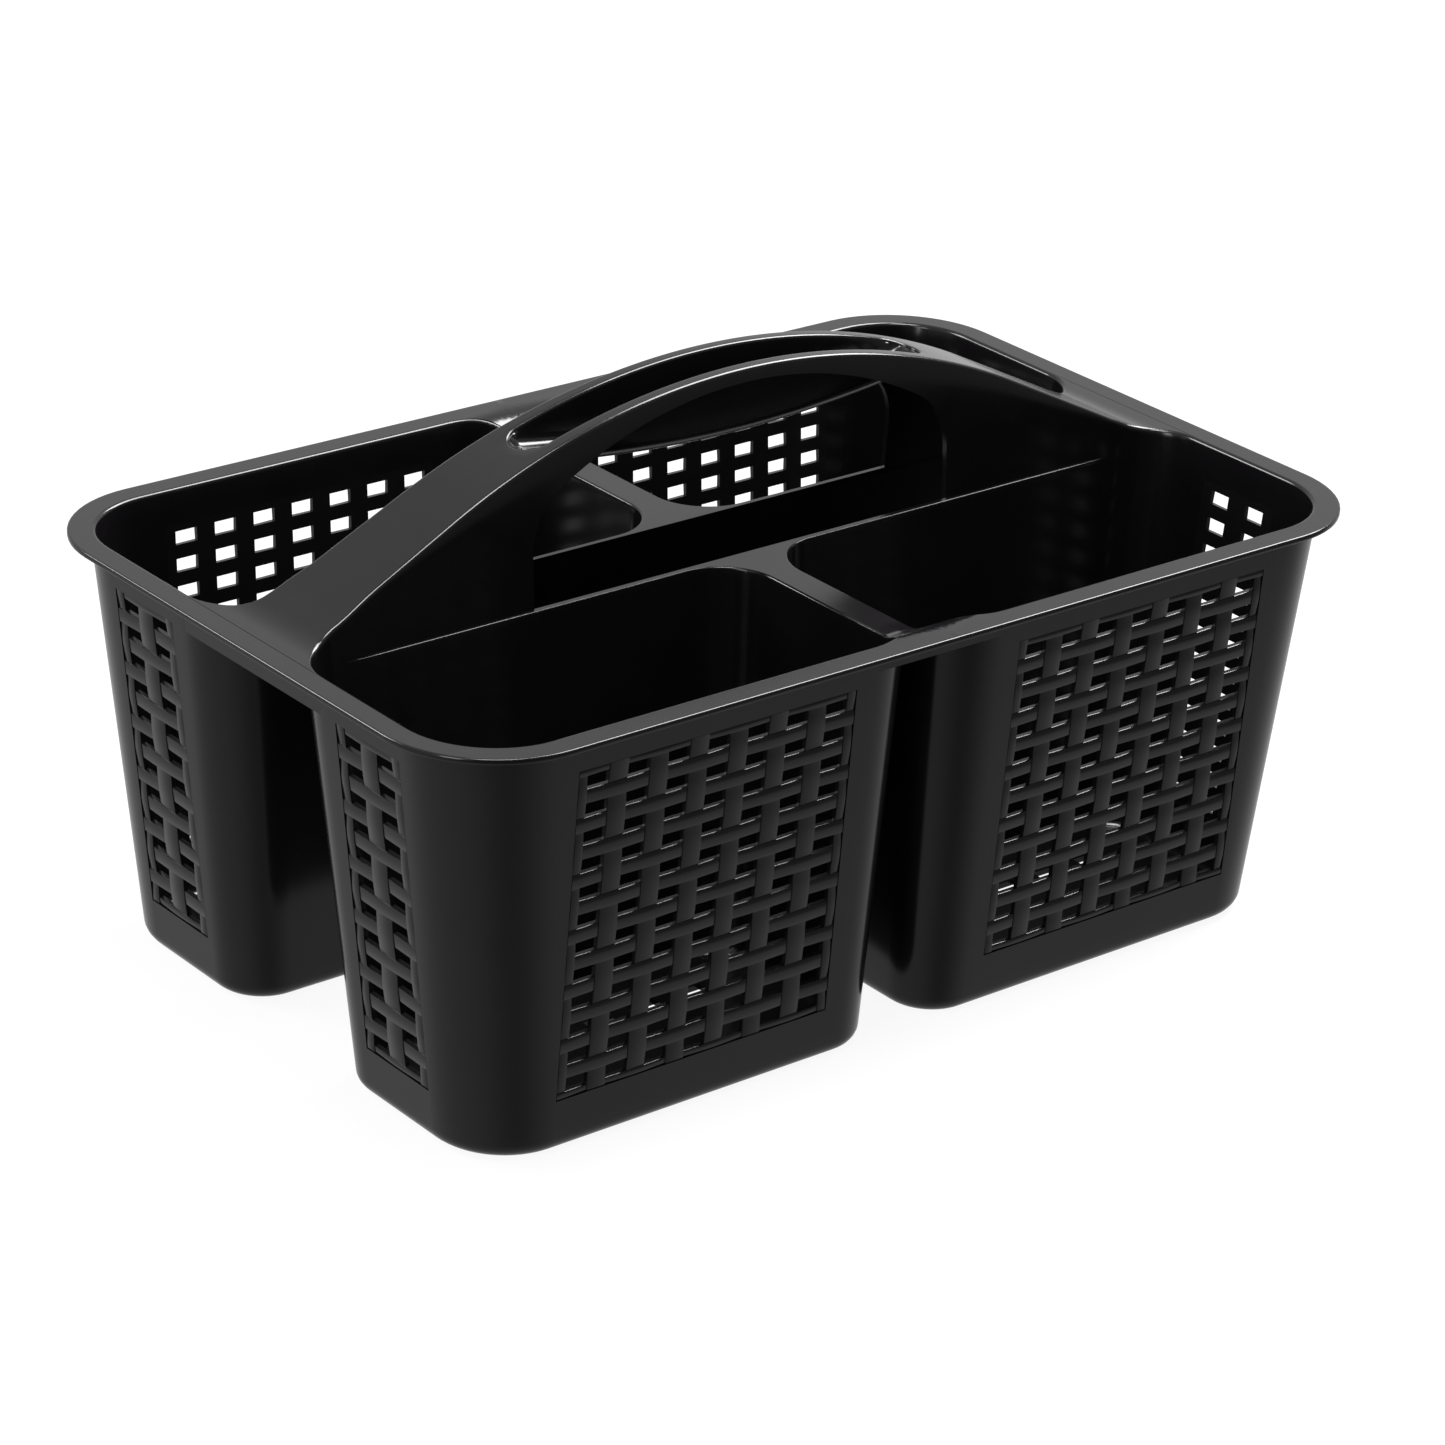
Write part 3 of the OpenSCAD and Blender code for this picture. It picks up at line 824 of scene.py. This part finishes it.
def woven_panel(name, width, height, cols, rows, hole, to_world):
    """The pierced grid and its straps, in the wall's own frame: u along, v up, w outwards."""
    pu, pv = width / cols, height / rows
    hu, hv = hole
    marks_u, marks_v = [0.0], [0.0]
    for k in range(cols):
        marks_u += [(k + 0.5) * pu - hu / 2, (k + 0.5) * pu + hu / 2]
    for k in range(rows):
        marks_v += [(k + 0.5) * pv - hv / 2, (k + 0.5) * pv + hv / 2]
    marks_u.append(width)
    marks_v.append(height)
    plate = lay_grid(name + "_plate", len(marks_u) - 1, len(marks_v) - 1,
                     lambda i, j: (marks_u[i], marks_v[j], GRID_FACE),
                     lambda i, j: i % 2 == 1 and j % 2 == 1)
    face_towards(plate, (width / 2, 0, GRID_FACE), (0, 0, 1))
    thicken(plate, WALL + GRID_FACE)
    parts = [plate]
    level = -PANEL_SUNK - WAVE - STRAP_T / 2
    up = straps("up", (cols, pu, hu, width), height, (pv, STEPS_UP * rows), level, WAVE)
    across = straps("across", (rows, pv, hv, height), width, (pu, STEPS_ACROSS * cols), level,
                    -WAVE)
    for piece, at in up:
        piece.data.transform(Matrix(((0, -1, 0, at * MM), (1, 0, 0, GROOVE * MM),
                                     (0, 0, 1, 0), (0, 0, 0, 1))))
        parts.append(piece)
    for piece, at in across:
        piece.data.transform(Matrix.Translation((GROOVE * MM, at * MM, 0)))
        parts.append(piece)
    for piece in parts[1:]:
        weld(piece)
        select_none(piece, "EDGE")
        bpy.ops.object.mode_set(mode="EDIT")
        bpy.ops.mesh.select_non_manifold()
        bpy.ops.mesh.fill_holes(sides=0)
        bpy.ops.object.mode_set(mode="OBJECT")
        face_outwards(piece)
    panel = join(parts, name)
    for point in panel.data.vertices:
        point.co = Vector(to_world(*(point.co / MM))) * MM
    panel.data.flip_normals()       # to_world swaps two axes, so it turns the faces inside out
    shade(panel, 40)
    return panel


HOLE = (8.3, 4.7)                   # a hole of the plain grid, along the panel and up it
LONG_HOLES, END_HOLES = (7, 12), (2, 12)
LONG_LEAN = math.atan2(PLAN_TOP[3] - PLAN_FOOT[3], LEAN_RISE)
END_LEAN = math.atan2(PLAN_TOP[1] - PLAN_FOOT[1], LEAN_RISE)


def on_long_wall(u, v, w):
    """A panel's point u, v, w on the long wall, with v measured up the leaning face."""
    v += (PANEL_FOOT - FOOT_Z) / math.cos(LONG_LEAN)
    return (LONG_PANEL[0] + u,
            PLAN_FOOT[3] + WALL + v * math.sin(LONG_LEAN) + w * math.cos(LONG_LEAN),
            FOOT_Z + v * math.cos(LONG_LEAN) - w * math.sin(LONG_LEAN))


def on_end_wall(u, v, w):
    """The same for the end wall."""
    v += (PANEL_FOOT - FOOT_Z) / math.cos(END_LEAN)
    return (PLAN_FOOT[1] + WALL + v * math.sin(END_LEAN) + w * math.cos(END_LEAN),
            END_PANEL[1] - u,
            FOOT_Z + v * math.cos(END_LEAN) - w * math.sin(END_LEAN))


panel_rise = PANEL_TOP - PANEL_FOOT
long_panel = woven_panel("back_right_weave_panel", LONG_PANEL[1] - LONG_PANEL[0],
                         panel_rise / math.cos(LONG_LEAN), *LONG_HOLES, HOLE, on_long_wall)
end_panel = woven_panel("back_right_end_panel", END_PANEL[1] - END_PANEL[0],
                        panel_rise / math.cos(END_LEAN), *END_HOLES, HOLE, on_end_wall)
print("long panel:", len(long_panel.data.polygons), "faces; end panel:",
      len(end_panel.data.polygons), "faces")

# %% [markdown]
# ## Materials
#
# The whole caddy is polypropylene, coloured black in the mass. The mould is polished to a satin
# gloss, so the plastic is nearly black where it looks into the tubs, and turns to a soft charcoal
# where it sees a light. Polypropylene flows and shrinks as it cools, which leaves a faint waviness
# a centimetre or so wide, and the mould's fine spark grain breaks up the gloss. The real grain is
# about a tenth of a millimetre wide, too fine to show, so it is drawn nearly a millimetre wide.

# %% Material helpers
ROUGH_RANGE = 0.03                  # how far the roughness swings about its mean
GRAIN_DEPTH = 0.008                 # of the mould's spark grain, in mm
PLASTIC_IOR, SPECULAR_LEVEL = 1.49, 0.28


def linear(hex_colour):
    """An sRGB hex colour as linear RGBA."""
    channels = [int(hex_colour[i:i + 2], 16) / 255 for i in (1, 3, 5)]
    return [c / 12.92 if c <= 0.04045 else ((c + 0.055) / 1.055) ** 2.4 for c in channels] + [1]


def add(tree, kind, feeds=(), **settings):
    """Adds a node; settings name its properties or inputs, and feeds are pairs of an input and
    the socket or the value that it takes."""
    node = tree.nodes.new(kind)
    for key, value in settings.items():
        if hasattr(node, key):
            setattr(node, key, value)
        else:
            node.inputs[key.replace("_", " ")].default_value = value
    for key, source in feeds:
        if isinstance(source, bpy.types.NodeSocket):
            tree.links.new(source, node.inputs[key])
        else:
            node.inputs[key].default_value = source
    return node


def moulded_polypropylene(name, colour, light_colour, rough, wave_mm, grain_mm, depth):
    """Black plastic with a waviness wave_mm wide and depth mm deep, and a grain grain_mm wide."""
    material = bpy.data.materials.new(name)
    material.use_nodes = True
    tree = material.node_tree
    shader = tree.nodes["Principled BSDF"]
    shader.inputs["IOR"].default_value = PLASTIC_IOR
    shader.inputs["Specular IOR Level"].default_value = SPECULAR_LEVEL
    place = add(tree, "ShaderNodeTexCoord").outputs["Object"]
    flow = add(tree, "ShaderNodeTexNoise", [("Vector", place)],
               Scale=1 / (wave_mm * MM), Detail=2.0)
    grain = add(tree, "ShaderNodeTexNoise", [("Vector", place)],
                Scale=1 / (grain_mm * MM), Detail=1.0)
    tint = add(tree, "ShaderNodeMix", [("Factor", flow.outputs["Fac"])], data_type="RGBA")
    tint.inputs["A"].default_value = linear(colour)
    tint.inputs["B"].default_value = linear(light_colour)
    tree.links.new(tint.outputs["Result"], shader.inputs["Base Color"])
    gloss = add(tree, "ShaderNodeMapRange", [("Value", flow.outputs["Fac"])],
                To_Min=rough - ROUGH_RANGE, To_Max=rough + ROUGH_RANGE)
    tree.links.new(gloss.outputs["Result"], shader.inputs["Roughness"])
    swell = add(tree, "ShaderNodeBump", [("Height", flow.outputs["Fac"])],
                Strength=0.25, Distance=depth * MM)
    skin = add(tree, "ShaderNodeBump", [("Height", grain.outputs["Fac"]),
                                        ("Normal", swell.outputs["Normal"])],
               Strength=0.1, Distance=GRAIN_DEPTH * MM)
    tree.links.new(skin.outputs["Normal"], shader.inputs["Normal"])
    return material


body_plastic = moulded_polypropylene("satin_moulded_polypropylene", "#070607", "#0a090a",
                                     rough=0.17, wave_mm=16.0, grain_mm=0.9, depth=0.03)
panel_plastic = moulded_polypropylene("woven_relief_polypropylene", "#090809", "#0c0b0c",
                                      rough=0.20, wave_mm=7.0, grain_mm=0.7, depth=0.03)

# %% [markdown]
# The one drawn quarter now becomes four. Each visible piece says which solids of the frame it
# replaces. The spine's aprons name none, because the CAD model draws them as part of the lands,
# which the deck replaces.

# %% Mirror the quarter, name the pieces and say what they replace
def settle(piece, material, nodes):
    """Gives a piece its material and body, and hides the solids of the frame that it replaces."""
    piece.data.materials.clear()
    piece.data.materials.append(material)
    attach(piece, "root")
    if nodes:
        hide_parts(*nodes)


for side, flip_y in (("back", False), ("front", True)):
    for hand, flip_x in (("right", False), ("left", True)):
        corner = f"{side}_{hand}"
        for master, suffix, material, slot in (
                (tub, "tub", body_plastic, "moulded_body"),
                (long_panel, "weave", panel_plastic, "woven_panel"),
                (end_panel, "end_weave", panel_plastic, "woven_panel")):
            copy = mirrored(master, f"{corner}_{suffix}_skin", flip_x, flip_y)
            settle(copy, material, [f"{corner}_{suffix}"])
front_web = mirrored(web, "front_web_skin", False, True)
settle(web, body_plastic, ["back_web"])
settle(front_web, body_plastic, ["front_web"])
settle(handle_top, body_plastic,
       ["left_leg", "right_leg", "grip_rails", "grip_trough", "left_foot", "right_foot"])
settle(deck, body_plastic, ["rim_flange", "front_land", "back_land"])
for master in (tub, long_panel, end_panel):
    bpy.data.objects.remove(master)
front_apron = mirrored(back_apron, "front_apron_skin", False, True)
left_apron = mirrored(right_apron, "left_apron_skin", True, False)
front_spine_apron = mirrored(back_spine_apron, "front_spine_apron_skin", False, True)
for piece, nodes in ((front_apron, ["front_apron"]), (back_apron, ["back_apron"]),
                     (left_apron, ["left_apron"]), (right_apron, ["right_apron"]),
                     (front_spine_apron, []), (back_spine_apron, [])):
    settle(piece, body_plastic, nodes)

# %% [markdown]
# ## Studio
#
# The caddy stands on a white light table, which is left out of reflections so that it does not
# wash out the black.

# %% Floor
TABLE_SIDE = 6                      # metres


def light_table(name, colour, glow):
    """A matt material that glows white with strength glow."""
    material = bpy.data.materials.new(name)
    material.use_nodes = True
    shader = material.node_tree.nodes["Principled BSDF"]
    shader.inputs["Base Color"].default_value = linear(colour)
    shader.inputs["Roughness"].default_value = 0.9
    shader.inputs["Specular IOR Level"].default_value = 0.0
    shader.inputs["Emission Color"].default_value = (1, 1, 1, 1)
    shader.inputs["Emission Strength"].default_value = glow
    return material


bpy.ops.object.select_all(action="DESELECT")
bpy.ops.mesh.primitive_plane_add(size=TABLE_SIDE)
floor = bpy.context.object
floor.name = "studio_floor"
floor.data.materials.append(light_table("white_light_table", "#404040", 0.92))
floor.visible_glossy = False

# %% [markdown]
# Black gloss shows little but what it reflects, so the surroundings are graded as in a studio:
# bright above and behind, darker past the table's front edge, with a dark patch that faces the
# caddy and shades its round corners. Four soft lights stand where the small edge radii reflect
# them, and draw the fine bright lines along the edges.

# %% Lights and surroundings
TARGET = Vector((4.94, -2.28, 70.54)) * MM      # what the camera and the lights point at
PATCH_WAY = (-0.28, -0.87, -0.40)               # where the middle of the dark patch lies
PATCH_FALLOFF, PATCH_DEPTH = 7.0, 0.42          # how fast it fades, and how much light it takes
DARKEST = 0.08                                  # no part of the surroundings is darker

world = bpy.data.worlds.new("studio")
bpy.context.scene.world = world
world.use_nodes = True
background = world.node_tree.nodes["Background"]
background.inputs["Color"].default_value = (1, 1, 1, 1)
surroundings = world.node_tree
way = add(surroundings, "ShaderNodeTexCoord").outputs["Generated"]
axes = add(surroundings, "ShaderNodeSeparateXYZ", [("Vector", way)]).outputs

# The dark patch: full where way points at its middle, nothing from 90 degrees off
facing = add(surroundings, "ShaderNodeVectorMath", [(0, way), (1, PATCH_WAY)],
             operation="DOT_PRODUCT").outputs["Value"]
in_front = add(surroundings, "ShaderNodeMath", [(0, facing), (1, 0.0)],
               operation="MAXIMUM").outputs["Value"]
patch = add(surroundings, "ShaderNodeMath", [(0, in_front), (1, PATCH_FALLOFF)],
            operation="POWER").outputs["Value"]
patch_takes = add(surroundings, "ShaderNodeMath", [(0, patch), (1, PATCH_DEPTH)],
                  operation="MULTIPLY").outputs["Value"]

# Past the table's front edge: above a steep downward angle, and towards the camera's side
not_below = add(surroundings, "ShaderNodeMapRange", [("Value", axes["Z"])],
                From_Min=-0.47, From_Max=-0.40, To_Min=0.0, To_Max=0.5).outputs["Result"]
towards_front = add(surroundings, "ShaderNodeMapRange", [("Value", axes["Y"])],
                    From_Min=-0.35, From_Max=0.0, To_Min=1.0, To_Max=0.0).outputs["Result"]
edge_takes = add(surroundings, "ShaderNodeMath", [(0, not_below), (1, towards_front)],
                 operation="MULTIPLY").outputs["Value"]

# Brighter upwards, less what the two dark places take
upwards = add(surroundings, "ShaderNodeMapRange", [("Value", axes["Z"])],
              From_Min=-0.5, From_Max=0.35, To_Min=0.66, To_Max=0.9).outputs["Result"]
with_patch = add(surroundings, "ShaderNodeMath", [(0, upwards), (1, patch_takes)],
                 operation="SUBTRACT").outputs["Value"]
with_both = add(surroundings, "ShaderNodeMath", [(0, with_patch), (1, edge_takes)],
                operation="SUBTRACT").outputs["Value"]
strength = add(surroundings, "ShaderNodeMath", [(0, with_both), (1, DARKEST)],
               operation="MAXIMUM").outputs["Value"]
surroundings.links.new(strength, background.inputs["Strength"])


def soft_light(name, place, size, power):
    """A rectangular light that faces the caddy; place and size in metres, power in watts."""
    lamp = bpy.data.lights.new(name, "AREA")
    lamp.shape = "RECTANGLE"
    lamp.size, lamp.size_y = size
    lamp.energy = power
    light = bpy.data.objects.new(name, lamp)
    bpy.context.collection.objects.link(light)
    light.location = place
    light.rotation_euler = (TARGET - light.location).to_track_quat("-Z", "Y").to_euler()


soft_light("right_high", (0.80, 0.10, 1.20), (0.7, 0.9), 60)
soft_light("back_left_high", (-0.85, 0.95, 0.85), (0.5, 0.6), 20)
soft_light("overhead", (-0.15, -0.20, 1.45), (0.5, 0.5), 22)
soft_light("left_side", (-1.3, -0.5, 0.5), (0.4, 1.2), 12)

# %% [markdown]
# The camera stands in front and to the left, looks down at the target and is turned a little about
# its own axis. Its long lens keeps the far side nearly as large as the near one.

# %% Camera
AZIMUTH, ELEVATION, ROLL = (math.radians(a) for a in (39.23, 24.52, 2.29))
DISTANCE = 1646.4 * MM
FOCAL, SENSOR = 122.26, 36          # in mm, as Blender's camera takes them
camera = bpy.data.objects.new("camera", bpy.data.cameras.new("camera"))
bpy.context.collection.objects.link(camera)
camera.data.lens = FOCAL
camera.data.sensor_width = SENSOR
away = Vector((-math.sin(AZIMUTH) * math.cos(ELEVATION), -math.cos(AZIMUTH) * math.cos(ELEVATION),
               math.sin(ELEVATION)))
camera.location = TARGET + away * DISTANCE
turn = away.to_track_quat("Z", "Y").to_matrix() @ Matrix.Rotation(ROLL, 3, "Z")
camera.rotation_euler = turn.to_euler()
camera.data.clip_end = 20
bpy.context.scene.view_settings.view_transform = "Standard"
bpy.context.scene.camera = camera
